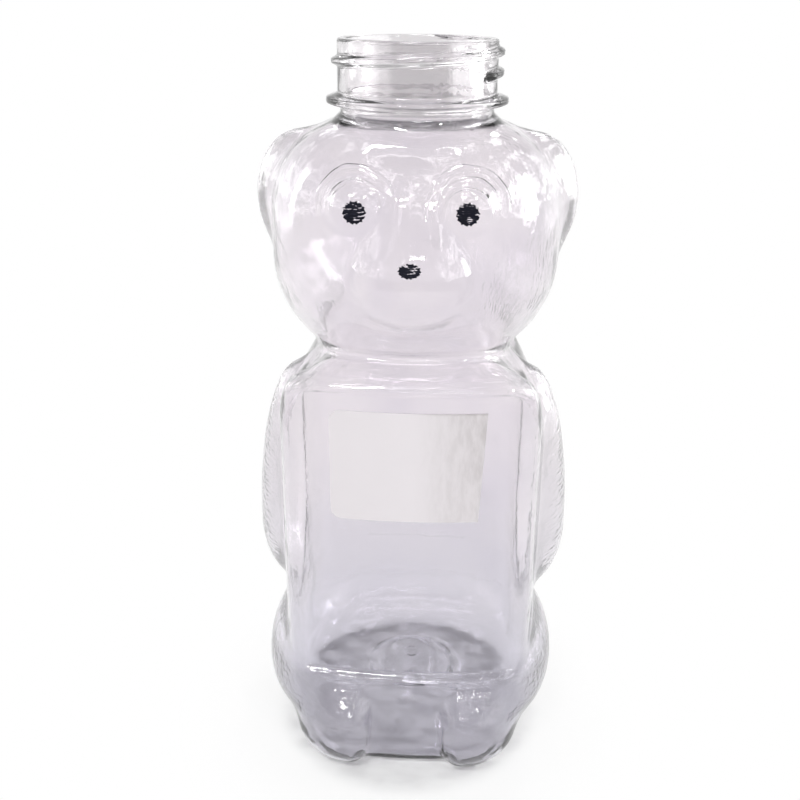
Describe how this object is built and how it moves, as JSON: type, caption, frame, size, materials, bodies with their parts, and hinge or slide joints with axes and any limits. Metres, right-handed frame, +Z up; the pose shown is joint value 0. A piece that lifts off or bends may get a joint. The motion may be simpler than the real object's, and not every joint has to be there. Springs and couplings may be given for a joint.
{
  "type": "bear-shaped squeeze bottle",
  "caption": "Clear blown plastic bottle in the shape of a sitting bear, with a wide screw neck, printed eyes and nose, sunk label panels and a blank paper sticker.",
  "frame": {"origin": "on the neck's axis, on the surface the bottle stands on", "axes": "+Z up along the neck's axis, the bear looks towards -Y, +X is the bear's left"},
  "size_m": [0.0764, 0.0721, 0.165],
  "materials": {
    "clear_plastic": "clear gloss",
    "black_ink": "stippled print",
    "white_paper": "matt paper"
  },
  "bodies": {
    "root": {"bottle": "clear_plastic", "left_eye": "black_ink", "right_eye": "black_ink", "nose": "black_ink", "sticker": "white_paper"}
  },
  "joints": []
}
